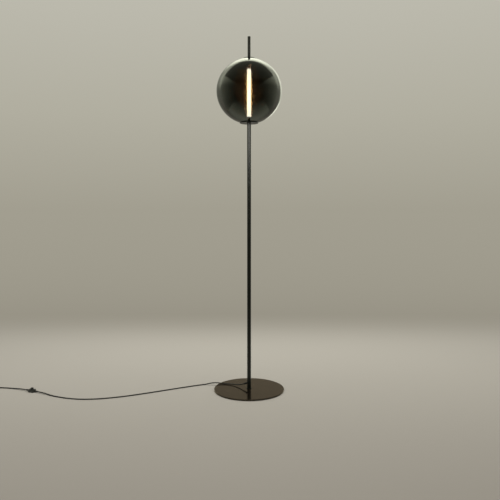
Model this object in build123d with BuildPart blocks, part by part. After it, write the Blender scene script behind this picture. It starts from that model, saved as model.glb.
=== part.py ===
from build123d import *

import os
from math import cos, hypot, pi, radians, sin, sqrt, tan

# Globe floor lamp: a round plate base, a thin pole, a smoked glass globe round an upright
# light bar, and a mains cord with a foot switch, a tied coil and a flat two-pin plug.
# Millimetres. Origin at the centre of the underside, +Z up, seen from the front along +Y.

os.makedirs("parts", exist_ok=True)

# ---------------------------------------------------------------- driving sizes

# Clearances
turned_gap = 0.05  # radial, between turned pieces that fit one in the other
loose_gap = 0.3  # between pieces that only lie near each other

# Base
base_diameter = 320.0
base_plate_thickness = 6.0
base_edge_round = 0.8
pad_thickness = 1.0
pad_margin = 5.0
pad_window_diameter = 30.0
foot_ring_diameter = 22.5
foot_ring_height = 3.0
foot_ring_chamfer = 0.5
foot_insert_height = 14.0

# Bolt up through the base
base_bolt_diameter = 8.0
base_bolt_length = 17.0
base_bolt_head_diameter = 16.0
base_bolt_head_rim = 0.5
base_bolt_tip_chamfer = 0.8
hex_socket_width = 5.0
hex_socket_depth = 2.6

# Pole
pole_diameter = 18.0
pole_wall = 1.5
pole_length = 1217.0

# Cord and its strain relief in the pole
cord_diameter = 5.0
core_diameter = 1.9
core_spacing = 2.3
core_bend = 3.4
gland_length = 20.0
gland_neck_wall = 0.9
gland_root_diameter = 9.2
gland_tip_diameter = 6.4
gland_inner_reach = 1.8

# Driver inside the pole
driver_bottom = 60.0
driver_length = 90.0
driver_board_thickness = 1.2
driver_edge_gap = 0.35

# Hub on top of the pole
hub_insert_height = 16.0
hub_flange_height = 2.0
nipple_diameter = 10.0
nipple_bore = 7.0
nipple_below = 16.0
nipple_above = 16.0
carrier_thickness = 3.0
carrier_lip_height = 2.0
carrier_lip_width = 2.5
gasket_thickness = 1.0

# Globe
globe_diameter = 300.0
glass_thickness = 3.0
glass_edge = 1.4
bottom_hole_diameter = 72.0
top_hole_diameter = 40.0

# Top cap of the globe
top_cap_thickness = 2.5
top_cap_edge_round = 0.6
top_cap_step = 3.4
top_cap_boss_diameter = 20.0
top_cap_boss_height = 10.0
grub_screw_diameter = 3.0

# Rods and light bar
rod_diameter = 12.0
rod_wall = 1.5
lower_rod_length = 24.0
upper_rod_length = 144.5
rod_shoulder_diameter = 14.0  # the upper rod's, above the globe's cap
tip_height = 3.0
tip_edge_round = 0.5
spigot_length = 6.0
diffuser_diameter = 18.0
diffuser_wall = 1.5
diffuser_headroom = 31.0  # between the light bar's upper end cap and the globe's cap
end_flange = 2.0
end_step = 4.0
bar_width = 8.0
bar_corner = 0.8
strip_width = 6.2
strip_thickness = 1.0
chip_length = 3.5
chip_width = 2.8
chip_thickness = 0.8
chip_pitch = 16.0

# Foot switch
switch_x = -987.0
switch_y = -31.0
switch_heading = 156.1  # degrees, from the lamp's side to the plug's side
switch_length = 34.0
switch_width = 23.0
switch_height = 12.5
switch_split = 5.5
switch_corner = 7.5
switch_top_round = 3.0
switch_bottom_round = 0.8
switch_wall = 1.5
button_diameter = 14.0
button_rise = 7.0
button_dome = 3.0
button_wall = 1.6
button_flange_width = 1.3
button_flange_height = 1.2
button_travel = 2.5
button_stem_diameter = 5.0
spring_diameter = 9.0
spring_wire = 0.8
spring_turns = 6
module_length = 12.0
module_width = 10.0
module_height = 4.2
terminal_size = 3.0
terminal_height = 5.2
terminal_middle = 1.75
screw_x = 10.0
screw_y = 6.0
screw_diameter = 2.5
screw_head_diameter = 4.7
screw_length = 9.0
screw_boss_wall = 1.3

# Strain reliefs on the switch and the plug
boot_length = 18.0
boot_root_diameter = 8.0
boot_tip_diameter = 6.0
boot_neck_wall = 0.65
boot_flange_width = 0.6
boot_flange_thickness = 1.2
cord_inside_switch = 6.0

# Coil of put-away cord
coil_x = -1228.0
coil_y = 62.0
coil_outer_radius = 38.0
turn_pitch = 5.5
turns_in = 3
quarters_out = 11
coil_rise = 1.0
tie_width = 6.0
tie_thickness = 0.6
tie_gap = 0.5

# Plug
plug_width = 26.0
plug_rear_width = 13.0
plug_length = 35.0
plug_waist = 10.5
plug_shoulder = 24.5
plug_thickness = 14.0
plug_side_round = 4.0
plug_edge_round = 2.0
plug_boot_length = 20.0
pin_diameter = 4.0
pin_length = 19.0
pin_spacing = 18.6
pin_tip_round = 1.4

# Cord routes, chosen by hand. The first starts inside the pole, crosses the base and lies on
# the floor to the switch. The second goes on to the coil and the third from coil to plug.
lamp_to_switch = [
    (-2.86, 1.43, 33.6),
    (-40.0, 20.0, 15.2),
    (-78.0, 49.5, 11.0),
    (-115.0, 61.5, 9.7),
    (-146.0, 66.0, 12.5),
    (-176.0, 70.5, 10.5),
    (-206.0, 74.0, 2.6),
    (-238.0, 61.5, 2.6),
    (-296.0, 31.5, 2.6),
    (-362.0, -3.5, 2.6),
    (-427.0, -39.2, 2.6),
    (-493.0, -74.0, 2.6),
    (-558.0, -104.5, 2.6),
    (-622.0, -127.0, 2.6),
    (-682.0, -140.0, 2.6),
    (-736.0, -141.0, 2.6),
    (-786.0, -131.5, 2.6),
    (-834.0, -113.0, 2.6),
    (-880.0, -90.5, 2.6),
    (-930.7, -56.0, 5.5),
    (-976.9, -35.5, 5.5),
]
switch_to_coil = [
    (-997.1, -26.5, 5.5),
    (-1043.3, -6.05, 5.5),
    (-1086.0, 11.0, 2.6),
    (-1131.0, 20.5, 2.6),
    (-1178.5, 24.0, 3.5),
    (-1223.0, 24.0, 3.5),
]
coil_to_plug = [
    (-1264.6, 67.0, 9.0),
    (-1264.6, 88.0, 9.0),
    (-1266.0, 125.0, 7.0),
    (-1266.0, 162.0, 7.0),
]

# ---------------------------------------------------------------- sizes that follow

cord_radius = cord_diameter / 2
core_radius = core_diameter / 2
base_radius = base_diameter / 2
bolt_radius = base_bolt_diameter / 2
bolt_head_radius = base_bolt_head_diameter / 2
plate_bottom = pad_thickness
plate_top = plate_bottom + base_plate_thickness
pole_radius = pole_diameter / 2
pole_bore_radius = pole_radius - pole_wall
pole_top = plate_top + pole_length
hub_top = pole_top + hub_flange_height
carrier_top = hub_top + carrier_thickness
nipple_radius = nipple_diameter / 2
rod_radius = rod_diameter / 2
rod_bore_radius = rod_radius - rod_wall

globe_radius = globe_diameter / 2
glass_bore_radius = globe_radius - glass_thickness
bottom_hole_radius = bottom_hole_diameter / 2
top_hole_radius = top_hole_diameter / 2
# Each flat is ground until the glass is glass_edge thick at the hole.
bottom_drop = sqrt(glass_bore_radius**2 - bottom_hole_radius**2) + glass_edge
top_rise = sqrt(glass_bore_radius**2 - top_hole_radius**2) + glass_edge
bottom_flat_radius = sqrt(globe_radius**2 - bottom_drop**2)
top_flat_radius = sqrt(globe_radius**2 - top_rise**2)
globe_bottom = carrier_top + gasket_thickness
globe_centre = globe_bottom + bottom_drop
globe_top = globe_centre + top_rise
cap_bottom = globe_top + gasket_thickness
step_bottom = cap_bottom - top_cap_step
boss_bottom = step_bottom - top_cap_boss_height

lower_rod_top = carrier_top + lower_rod_length
diffuser_bottom = lower_rod_top + end_flange
upper_rod_bottom = boss_bottom - diffuser_headroom
diffuser_top = upper_rod_bottom - end_flange
diffuser_length = diffuser_top - diffuser_bottom
upper_rod_top = upper_rod_bottom + upper_rod_length
diffuser_radius = diffuser_diameter / 2
diffuser_bore_radius = diffuser_radius - diffuser_wall
strip_length = diffuser_length - 2 * (end_step + loose_gap)

switch_roof = switch_height - switch_wall
module_top = switch_wall + module_height
button_radius = button_diameter / 2
button_flange_radius = button_radius + button_flange_width
button_flange_bottom = switch_roof - button_flange_height
button_top = switch_height + button_rise
button_ceiling = button_top - button_wall
boot_neck_radius = cord_radius + turned_gap + boot_neck_wall
boot_flange_radius = boot_neck_radius + boot_flange_width
screw_head_radius = screw_head_diameter / 2
shank_radius = screw_diameter / 2
screw_boss_radius = shank_radius + screw_boss_wall

switch_along = Vector(cos(radians(switch_heading)), sin(radians(switch_heading)), 0)
switch_middle = Vector(switch_x, switch_y, 0)
switch_plane = Plane(origin=switch_middle, x_dir=switch_along, z_dir=(0, 0, 1))


# ---------------------------------------------------------------- helpers


def turned_plane(origin, heading):
    """Plane for a turned profile: local X along the heading, local Y away from the axis."""
    return Plane(origin=origin, x_dir=heading, z_dir=heading.cross(Vector(0, 0, 1)))


def outline(points, origin=(0, 0, 0), heading=Vector(0, 0, 1)):
    """Closed outline of (distance along the axis, radius) points, ready to be revolved."""
    upright = Plane(origin=origin, x_dir=(0, 0, 1), z_dir=(0, 1, 0))
    plane = upright if abs(heading.Z) > 0.999 else turned_plane(origin, heading)
    with BuildSketch(plane) as flat:
        with BuildLine():
            Polyline(*points, close=True)
        make_face()
    return flat.sketch


def corner_radii(points):
    """Largest arc at each corner: 0.45 of the shorter run over the tangent of half the turn."""
    radii = []
    for before, corner, after in zip(points, points[1:], points[2:]):
        run_in = Vector(*corner) - Vector(*before)
        run_out = Vector(*after) - Vector(*corner)
        half_turn = radians(run_in.get_angle(run_out) / 2)
        radii.append(0.45 * min(run_in.length, run_out.length) / tan(half_turn))
    return radii


def round_tube(points, diameter, name):
    """A round tube along straight runs joined by tangent arcs, compared with its own length."""
    radii = corner_radii(points)
    with BuildPart() as tube:
        with BuildLine() as route:
            FilletPolyline(*points, radius=radii)
        length = route.wire().length
        with BuildSketch(Plane(origin=route.wire() @ 0, z_dir=route.wire() % 0)):
            Circle(diameter / 2)
        sweep()
    share = tube.part.volume / (pi * diameter**2 / 4 * length)
    print(f"{name}: length {length:.1f}, volume over section times length {share:.4f}")
    print("  radii", " ".join(f"{radius:.0f}" for radius in radii))
    return tube


def strain_relief(origin, heading, length, neck_length):
    """A tapered boot with a neck through a wall: the outside of the wall is at the origin."""
    bore = cord_radius + turned_gap
    inside = -neck_length - boot_flange_thickness
    points = [
        (inside, bore),
        (inside, boot_flange_radius),
        (-neck_length, boot_flange_radius),
        (-neck_length, boot_neck_radius),
        (0, boot_neck_radius),
        (0, boot_root_diameter / 2),
        (length, boot_tip_diameter / 2),
        (length, bore),
    ]
    with BuildPart() as boot:
        revolve(outline(points, origin, heading), Axis(origin, heading))
    return boot


# ---------------------------------------------------------------- base

with BuildPart() as base_pad:
    with BuildSketch():
        Circle(base_radius - pad_margin)
        Circle(pad_window_diameter / 2, mode=Mode.SUBTRACT)
    extrude(amount=pad_thickness)

sink_radius = bolt_head_radius + turned_gap
bolt_hole_radius = bolt_radius + turned_gap
sink_top = plate_bottom + base_bolt_head_rim
with BuildPart() as base_plate:
    revolve(
        outline(
            [
                (plate_bottom, sink_radius),
                (sink_top, sink_radius),
                (sink_top + sink_radius - bolt_hole_radius, bolt_hole_radius),
                (plate_top, bolt_hole_radius),
                (plate_top, base_radius),
                (plate_bottom, base_radius),
            ]
        )
    )
    rim_edges = base_plate.edges().filter_by(GeomType.CIRCLE).group_by(SortBy.RADIUS)[-1]
    fillet(rim_edges, base_edge_round)

bolt_tip = plate_bottom + base_bolt_length
with BuildPart() as base_bolt:
    revolve(
        outline(
            [
                (plate_bottom, 0),
                (plate_bottom, bolt_head_radius),
                (sink_top, bolt_head_radius),
                (sink_top + bolt_head_radius - bolt_radius, bolt_radius),
                (bolt_tip - base_bolt_tip_chamfer, bolt_radius),
                (bolt_tip, bolt_radius - base_bolt_tip_chamfer),
                (bolt_tip, 0),
            ]
        )
    )
    with BuildSketch(Plane.XY.offset(plate_bottom)):
        RegularPolygon(hex_socket_width / 2, 6, major_radius=False)
    extrude(amount=hex_socket_depth, mode=Mode.SUBTRACT)

with BuildPart() as pole_foot_ring:
    with BuildSketch(Plane.XY.offset(plate_top)):
        Circle(foot_ring_diameter / 2)
        Circle(pole_radius + turned_gap, mode=Mode.SUBTRACT)
    extrude(amount=foot_ring_height)
    chamfer(pole_foot_ring.faces().sort_by(Axis.Z)[-1].outer_wire().edges(), foot_ring_chamfer)

with BuildPart() as pole_foot_insert:
    with BuildSketch(Plane.XY.offset(plate_top)):
        Circle(pole_bore_radius - turned_gap)
        Circle(bolt_hole_radius, mode=Mode.SUBTRACT)
    extrude(amount=foot_insert_height)

# ---------------------------------------------------------------- cord outlet in the pole

cord_start = Vector(*lamp_to_switch[0])
gland_heading = (Vector(*lamp_to_switch[1]) - cord_start).normalized()
flatness = hypot(gland_heading.X, gland_heading.Y)
# Where the cord's axis crosses the pole's axis.
gland_origin = cord_start - gland_heading * (hypot(cord_start.X, cord_start.Y) / flatness)
gland_bore_radius = cord_radius + turned_gap
gland_neck_radius = gland_bore_radius + gland_neck_wall
wall_outside = pole_radius / flatness
neck_start = pole_bore_radius / flatness - gland_inner_reach

with BuildPart() as pole_tube:
    with BuildSketch(Plane.XY.offset(plate_top)):
        Circle(pole_radius)
        Circle(pole_bore_radius, mode=Mode.SUBTRACT)
    extrude(amount=pole_length)
    with BuildSketch(Plane(origin=gland_origin, z_dir=gland_heading)):
        Circle(gland_neck_radius + turned_gap)
    extrude(amount=2 * pole_radius, mode=Mode.SUBTRACT)

with BuildPart() as cord_gland:
    revolve(
        outline(
            [
                (wall_outside - pole_wall, gland_bore_radius),
                (wall_outside - pole_wall, gland_root_diameter / 2),
                (wall_outside, gland_root_diameter / 2),
                (wall_outside + gland_length, gland_tip_diameter / 2),
                (wall_outside + gland_length, gland_bore_radius),
            ],
            gland_origin,
            gland_heading,
        ),
        Axis(gland_origin, gland_heading),
    )
    with BuildSketch(Plane.XY.offset(gland_origin.Z - 2 * pole_diameter)):
        Circle(pole_radius + turned_gap)
    extrude(amount=4 * pole_diameter, mode=Mode.SUBTRACT)
    with BuildSketch(Plane(origin=gland_origin, z_dir=gland_heading).offset(neck_start)):
        Circle(gland_neck_radius)
        Circle(gland_bore_radius, mode=Mode.SUBTRACT)
    extrude(amount=wall_outside + pole_wall - neck_start)

# ---------------------------------------------------------------- driver and inner wires

driver_top = driver_bottom + driver_length
half_board = driver_board_thickness / 2
board_half_width = sqrt((pole_bore_radius - driver_edge_gap) ** 2 - half_board**2)
with BuildPart() as driver_board:
    with BuildSketch(Plane.XY.offset(driver_bottom)):
        Rectangle(2 * board_half_width, driver_board_thickness)
    extrude(amount=driver_length)

# Three block-shaped components stand on the board's front face.
component_depth = 0.6 * pole_bore_radius
component_places = [(0.12, 0.10), (0.36, 0.22), (0.74, 0.14)]
with BuildPart() as driver_components:
    for place, share in component_places:
        middle = driver_bottom + place * driver_length
        with BuildSketch(Plane.XY.offset(middle - share * driver_length / 2)):
            with Locations((0, -half_board - component_depth / 2)):
                Rectangle(board_half_width, component_depth)
        extrude(amount=share * driver_length)

core_offset = core_spacing / 2
core_side = gland_heading.cross(Vector(0, 0, 1)).normalized() * core_offset
with BuildPart() as mains_cores:
    for side in (core_side, core_side * -1):
        start = cord_start + side
        turn = gland_origin + side
        end = Vector(turn.X, turn.Y, driver_bottom)
        with BuildLine() as core_route:
            FilletPolyline(start, turn, end, radius=core_bend)
        with BuildSketch(Plane(origin=start, z_dir=gland_heading * -1)):
            Circle(core_radius)
        sweep()

with BuildPart() as light_cores:
    with BuildSketch(Plane.XY.offset(driver_top)):
        with Locations((core_offset, 0), (-core_offset, 0)):
            Circle(core_radius)
    extrude(amount=diffuser_bottom - driver_top)

# ---------------------------------------------------------------- hub and globe carrier

nipple_hole = nipple_radius + turned_gap
hub_bottom = pole_top - hub_insert_height
with BuildPart() as pole_top_hub:
    revolve(
        outline(
            [
                (hub_bottom, nipple_hole),
                (hub_bottom, pole_bore_radius - turned_gap),
                (pole_top, pole_bore_radius - turned_gap),
                (pole_top, pole_radius),
                (hub_top, pole_radius),
                (hub_top, nipple_hole),
            ]
        )
    )

with BuildPart() as threaded_nipple:
    with BuildSketch(Plane.XY.offset(pole_top - nipple_below)):
        Circle(nipple_radius)
        Circle(nipple_bore / 2, mode=Mode.SUBTRACT)
    extrude(amount=nipple_below + carrier_top + nipple_above - pole_top)

lip_radius = bottom_hole_radius - loose_gap
with BuildPart() as globe_carrier:
    revolve(
        outline(
            [
                (hub_top, nipple_hole),
                (hub_top, bottom_flat_radius),
                (carrier_top, bottom_flat_radius),
                (carrier_top, lip_radius),
                (carrier_top + carrier_lip_height, lip_radius),
                (carrier_top + carrier_lip_height, lip_radius - carrier_lip_width),
                (carrier_top, lip_radius - carrier_lip_width),
                (carrier_top, nipple_hole),
            ]
        )
    )

with BuildPart() as bottom_gasket:
    with BuildSketch(Plane.XY.offset(carrier_top)):
        Circle(bottom_flat_radius)
        Circle(bottom_hole_radius, mode=Mode.SUBTRACT)
    extrude(amount=gasket_thickness)

# ---------------------------------------------------------------- globe

glass_bottom_edge = globe_centre - sqrt(glass_bore_radius**2 - bottom_hole_radius**2)
glass_top_edge = globe_centre + sqrt(glass_bore_radius**2 - top_hole_radius**2)
with BuildPart() as globe_glass:
    with BuildSketch(Plane.XZ):
        with BuildLine():
            Line((bottom_hole_radius, globe_bottom), (bottom_flat_radius, globe_bottom))
            ThreePointArc(
                (bottom_flat_radius, globe_bottom),
                (globe_radius, globe_centre),
                (top_flat_radius, globe_top),
            )
            Line((top_flat_radius, globe_top), (top_hole_radius, globe_top))
            Line((top_hole_radius, globe_top), (top_hole_radius, glass_top_edge))
            ThreePointArc(
                (top_hole_radius, glass_top_edge),
                (glass_bore_radius, globe_centre),
                (bottom_hole_radius, glass_bottom_edge),
            )
            Line((bottom_hole_radius, glass_bottom_edge), (bottom_hole_radius, globe_bottom))
        make_face()
    revolve()

with BuildPart() as top_gasket:
    with BuildSketch(Plane.XY.offset(globe_top)):
        Circle(top_flat_radius)
        Circle(top_hole_radius, mode=Mode.SUBTRACT)
    extrude(amount=gasket_thickness)

rod_hole = rod_radius + turned_gap
step_radius = top_hole_radius - loose_gap
boss_radius = top_cap_boss_diameter / 2
cap_top = cap_bottom + top_cap_thickness
grub_height = (boss_bottom + step_bottom) / 2
grub_radius = grub_screw_diameter / 2
with BuildPart() as globe_top_cap:
    revolve(
        outline(
            [
                (boss_bottom, rod_hole),
                (boss_bottom, boss_radius),
                (step_bottom, boss_radius),
                (step_bottom, step_radius),
                (cap_bottom, step_radius),
                (cap_bottom, top_flat_radius),
                (cap_top, top_flat_radius),
                (cap_top, rod_hole),
            ]
        )
    )
    with BuildSketch(Plane.XZ):
        with Locations((0, grub_height)):
            Circle(grub_radius + turned_gap)
    extrude(amount=boss_radius + 1, both=True, mode=Mode.SUBTRACT)
    top_rim = globe_top_cap.faces().sort_by(Axis.Z)[-1].outer_wire().edges()
    fillet(top_rim, top_cap_edge_round)

with BuildPart() as top_cap_grub_screws:
    for facing in (Vector(0, -1, 0), Vector(0, 1, 0)):
        middle = facing * rod_radius + Vector(0, 0, grub_height)
        with BuildSketch(Plane(origin=middle, z_dir=facing)):
            Circle(grub_radius)
        extrude(amount=boss_radius - rod_radius - turned_gap)

# ---------------------------------------------------------------- rods and light bar

rod_thread = nipple_radius + turned_gap
rod_thread_top = carrier_top + nipple_above + loose_gap
with BuildPart() as lower_rod:
    revolve(
        outline(
            [
                (carrier_top, rod_thread),
                (carrier_top, rod_radius),
                (lower_rod_top, rod_radius),
                (lower_rod_top, rod_bore_radius),
                (rod_thread_top, rod_bore_radius),
                (rod_thread_top, rod_thread),
            ]
        )
    )

wire_hole = core_offset + core_radius + turned_gap
spigot_radius = rod_bore_radius - turned_gap
end_step_radius = diffuser_bore_radius - turned_gap
# Square pockets in both caps hold the ends of the light bar.
pocket_width = bar_width + 2 * turned_gap
with BuildPart() as diffuser_bottom_cap:
    revolve(
        outline(
            [
                (lower_rod_top - spigot_length, wire_hole),
                (lower_rod_top - spigot_length, spigot_radius),
                (lower_rod_top, spigot_radius),
                (lower_rod_top, diffuser_radius),
                (diffuser_bottom, diffuser_radius),
                (diffuser_bottom, end_step_radius),
                (diffuser_bottom + end_step, end_step_radius),
                (diffuser_bottom + end_step, wire_hole),
            ]
        )
    )
    with BuildSketch(Plane.XY.offset(diffuser_bottom)):
        Rectangle(pocket_width, pocket_width)
    extrude(amount=end_step, mode=Mode.SUBTRACT)

with BuildPart() as diffuser_top_cap:
    revolve(
        outline(
            [
                (diffuser_top - end_step, 0),
                (diffuser_top - end_step, end_step_radius),
                (diffuser_top, end_step_radius),
                (diffuser_top, diffuser_radius),
                (upper_rod_bottom, diffuser_radius),
                (upper_rod_bottom, spigot_radius),
                (upper_rod_bottom + spigot_length, spigot_radius),
                (upper_rod_bottom + spigot_length, 0),
            ]
        )
    )
    with BuildSketch(Plane.XY.offset(diffuser_top - end_step)):
        Rectangle(pocket_width, pocket_width)
    extrude(amount=end_step, mode=Mode.SUBTRACT)

with BuildPart() as light_bar:
    with BuildSketch(Plane.XY.offset(diffuser_bottom)):
        Rectangle(bar_width, bar_width)
    extrude(amount=diffuser_length)
    chamfer(light_bar.edges().filter_by(Axis.Z), bar_corner)

strip_bottom = diffuser_bottom + end_step + loose_gap
strip_middle = strip_bottom + strip_length / 2
bar_sides = {"front": 270, "back": 90, "left": 180, "right": 0}
led_strips = {}
for side_name, angle in bar_sides.items():
    outward = Vector(cos(radians(angle)), sin(radians(angle)), 0)
    strip_plane = Plane(origin=(0, 0, strip_middle), x_dir=(0, 0, 1), z_dir=outward)
    with BuildPart() as led_strip:
        with BuildSketch(strip_plane.offset(bar_width / 2)):
            Rectangle(strip_length, strip_width)
        extrude(amount=strip_thickness)
    led_strips[side_name] = led_strip

chip_count = int((strip_length - chip_length) // chip_pitch) + 1
with BuildPart() as led_chips:
    for angle in bar_sides.values():
        outward = Vector(cos(radians(angle)), sin(radians(angle)), 0)
        strip_plane = Plane(origin=(0, 0, strip_middle), x_dir=(0, 0, 1), z_dir=outward)
        with BuildSketch(strip_plane.offset(bar_width / 2 + strip_thickness)):
            with GridLocations(chip_pitch, chip_pitch, chip_count, 1):
                Rectangle(chip_length, chip_width)
        extrude(amount=chip_thickness)

with BuildPart() as diffuser_tube:
    with BuildSketch(Plane.XY.offset(diffuser_bottom)):
        Circle(diffuser_radius)
        Circle(diffuser_bore_radius, mode=Mode.SUBTRACT)
    extrude(amount=diffuser_length)

shoulder_bottom = cap_top + turned_gap
shoulder_radius = rod_shoulder_diameter / 2
with BuildPart() as upper_rod:
    revolve(
        outline(
            [
                (upper_rod_bottom, rod_bore_radius),
                (upper_rod_bottom, rod_radius),
                (shoulder_bottom, rod_radius),
                (shoulder_bottom, shoulder_radius),
                (upper_rod_top, shoulder_radius),
                (upper_rod_top, rod_bore_radius),
            ]
        )
    )

with BuildPart() as rod_tip:
    with BuildSketch(Plane.XY.offset(upper_rod_top - spigot_length)):
        Circle(spigot_radius)
    extrude(amount=spigot_length)
    with BuildSketch(Plane.XY.offset(upper_rod_top)):
        Circle(shoulder_radius)
    extrude(amount=tip_height)
    fillet(rod_tip.faces().sort_by(Axis.Z)[-1].edges(), tip_edge_round)

# ---------------------------------------------------------------- foot switch

cord_hole = boot_neck_radius + turned_gap
cord_axis = switch_plane.offset(switch_split)
cord_hole_plane = Plane(origin=cord_axis.origin, z_dir=switch_along)
screw_places = [(screw_x, screw_y), (-screw_x, -screw_y)]
cavity_size = (switch_length - 2 * switch_wall, switch_width - 2 * switch_wall)

with BuildPart() as switch_lower_shell:
    with BuildSketch(switch_plane):
        RectangleRounded(switch_length, switch_width, switch_corner)
    extrude(amount=switch_split)
    fillet(switch_lower_shell.faces().sort_by(Axis.Z)[0].edges(), switch_bottom_round)
    with BuildSketch(switch_plane.offset(switch_wall)):
        RectangleRounded(*cavity_size, switch_corner - switch_wall)
    extrude(amount=switch_split - switch_wall, mode=Mode.SUBTRACT)
    with BuildSketch(switch_plane):
        with Locations(*screw_places):
            Circle(screw_boss_radius)
    extrude(amount=switch_split)
    with BuildSketch(cord_hole_plane):
        Circle(cord_hole)
    extrude(amount=switch_length, both=True, mode=Mode.SUBTRACT)
    with BuildSketch(switch_plane):
        with Locations(*screw_places):
            Circle(screw_head_radius + turned_gap)
    extrude(amount=screw_head_radius - shank_radius, taper=45, mode=Mode.SUBTRACT)
    with BuildSketch(switch_plane):
        with Locations(*screw_places):
            Circle(shank_radius + turned_gap)
    extrude(amount=switch_split, mode=Mode.SUBTRACT)

with BuildPart() as switch_upper_shell:
    with BuildSketch(switch_plane.offset(switch_split)):
        RectangleRounded(switch_length, switch_width, switch_corner)
    extrude(amount=switch_height - switch_split)
    fillet(switch_upper_shell.faces().sort_by(Axis.Z)[-1].edges(), switch_top_round)
    with BuildSketch(switch_plane.offset(switch_split)):
        RectangleRounded(*cavity_size, switch_corner - switch_wall)
    extrude(amount=switch_roof - switch_split, mode=Mode.SUBTRACT)
    with BuildSketch(switch_plane.offset(switch_split)):
        with Locations(*screw_places):
            Circle(screw_boss_radius)
            Circle(shank_radius + turned_gap, mode=Mode.SUBTRACT)
    extrude(amount=switch_roof - switch_split)
    with BuildSketch(switch_plane.offset(switch_roof)):
        Circle(button_radius + loose_gap)
    extrude(amount=switch_wall, mode=Mode.SUBTRACT)
    with BuildSketch(cord_hole_plane):
        Circle(cord_hole)
    extrude(amount=switch_length, both=True, mode=Mode.SUBTRACT)

with BuildPart() as switch_button:
    with BuildSketch(switch_plane.offset(button_flange_bottom)):
        Circle(button_radius)
    extrude(amount=button_top - button_flange_bottom)
    fillet(switch_button.faces().sort_by(Axis.Z)[-1].edges(), button_dome)
    with BuildSketch(switch_plane.offset(button_flange_bottom)):
        Circle(button_flange_radius)
    extrude(amount=button_flange_height)
    with BuildSketch(switch_plane.offset(button_flange_bottom)):
        Circle(button_radius - button_wall)
    extrude(amount=button_ceiling - button_flange_bottom, mode=Mode.SUBTRACT)
    with BuildSketch(switch_plane.offset(button_ceiling)):
        Circle(button_stem_diameter / 2)
    extrude(amount=-button_travel)

with BuildPart() as switch_module:
    with BuildSketch(switch_plane.offset(switch_wall)):
        Rectangle(module_length, module_width)
    extrude(amount=module_height)
    with BuildSketch(switch_plane.offset(module_top)):
        Circle(button_stem_diameter / 2)
    extrude(amount=button_ceiling - module_top - 2 * button_travel - loose_gap)

spring_height = button_ceiling - module_top - 2 * loose_gap
spring_climb = spring_height - spring_wire
spring_radius = (spring_diameter - spring_wire) / 2
spring_foot = module_top + loose_gap + spring_wire / 2
with BuildPart() as switch_spring:
    with BuildLine() as spring_line:
        Helix(
            pitch=spring_climb / spring_turns,
            height=spring_climb,
            radius=spring_radius,
            center=(switch_x, switch_y, spring_foot),
        )
    with BuildSketch(Plane(origin=spring_line.line @ 0, z_dir=spring_line.line % 0)):
        Circle(spring_wire / 2)
    sweep(is_frenet=True)

terminal_x = (module_length + terminal_size) / 2
with BuildPart() as switch_terminals:
    with BuildSketch(switch_plane.offset(switch_wall)):
        with GridLocations(2 * terminal_x, 2 * terminal_middle, 2, 2):
            Rectangle(terminal_size, terminal_size)
    extrude(amount=terminal_height)

cord_end_x = switch_length / 2 - cord_inside_switch
core_start_x = terminal_x + terminal_size / 2
with BuildPart() as switch_cores:
    for direction in (1, -1):
        core_plane = Plane(
            origin=cord_axis.origin + switch_along * direction * core_start_x,
            x_dir=(0, 0, 1),
            z_dir=switch_along * direction,
        )
        with BuildSketch(core_plane):
            with Locations((0, core_offset), (0, -core_offset)):
                Circle(core_radius)
        extrude(amount=cord_end_x - core_start_x)

with BuildPart() as switch_screws:
    for place in screw_places:
        with BuildSketch(switch_plane):
            with Locations(place):
                Circle(screw_head_radius)
        extrude(amount=screw_head_radius - shank_radius, taper=45)
        with BuildSketch(switch_plane):
            with Locations(place):
                Circle(shank_radius)
        extrude(amount=screw_length)

shell_end = switch_along * (switch_length / 2)
switch_boot_lamp_side = strain_relief(
    cord_axis.origin - shell_end, switch_along * -1, boot_length, switch_wall
)
switch_boot_plug_side = strain_relief(
    cord_axis.origin + shell_end, switch_along, boot_length, switch_wall
)

# ---------------------------------------------------------------- cords

cord_lamp_to_switch = round_tube(lamp_to_switch, cord_diameter, "cord, lamp to switch")
cord_switch_to_coil = round_tube(switch_to_coil, cord_diameter, "cord, switch to coil")
cord_coil_to_plug = round_tube(coil_to_plug, cord_diameter, "cord, coil to plug")

# The coil winds clockwise seen from above: in on the lower layer, up in the half turn where
# the spiral reverses, out on the upper layer. One place for each quarter turn.
lower_layer = coil_rise + cord_radius
quarters_in = 4 * turns_in
quarters_up = 2
quarters = quarters_in + quarters_up + quarters_out


def coil_radius(quarter):
    """Steady spiral: in until the middle of the climb, then out again."""
    turning = quarters_in + quarters_up / 2
    smallest = coil_outer_radius - turn_pitch * turning / 4
    return smallest + turn_pitch * abs(quarter - turning) / 4


def coil_height(quarter):
    """Lower layer, a straight climb of one pitch, upper layer."""
    climbed = min(max(quarter - quarters_in, 0), quarters_up) / quarters_up
    return lower_layer + turn_pitch * climbed


def coil_point(quarter):
    """Place on the coil after this many quarter turns, from the coil's front."""
    angle = radians(-90 - 90 * quarter)
    radius = coil_radius(quarter)
    return Vector(coil_x + radius * cos(angle), coil_y + radius * sin(angle), coil_height(quarter))


def coil_heading(quarter):
    """Direction of travel there, from the steady rates on both sides."""
    angle = radians(-90 - 90 * quarter)
    swing = -coil_radius(quarter) * pi
    outward = coil_radius(quarter + 1) - coil_radius(quarter - 1)
    upward = coil_height(quarter + 1) - coil_height(quarter - 1)
    return Vector(
        outward * cos(angle) - swing * sin(angle),
        outward * sin(angle) + swing * cos(angle),
        upward,
    ).normalized()


def biarc_joint(start, start_heading, end, end_heading):
    """Middle point of two tangent arcs, and the heading there."""
    chord = end - start
    both = start_heading + end_heading
    bend = 2 * (1 - start_heading.dot(end_heading))
    along = chord.dot(both)
    reach = (sqrt(along**2 + bend * chord.dot(chord)) - along) / bend
    corner = start + start_heading * reach
    joint = (corner + end - end_heading * reach) * 0.5
    return joint, (joint - corner).normalized()


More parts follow.
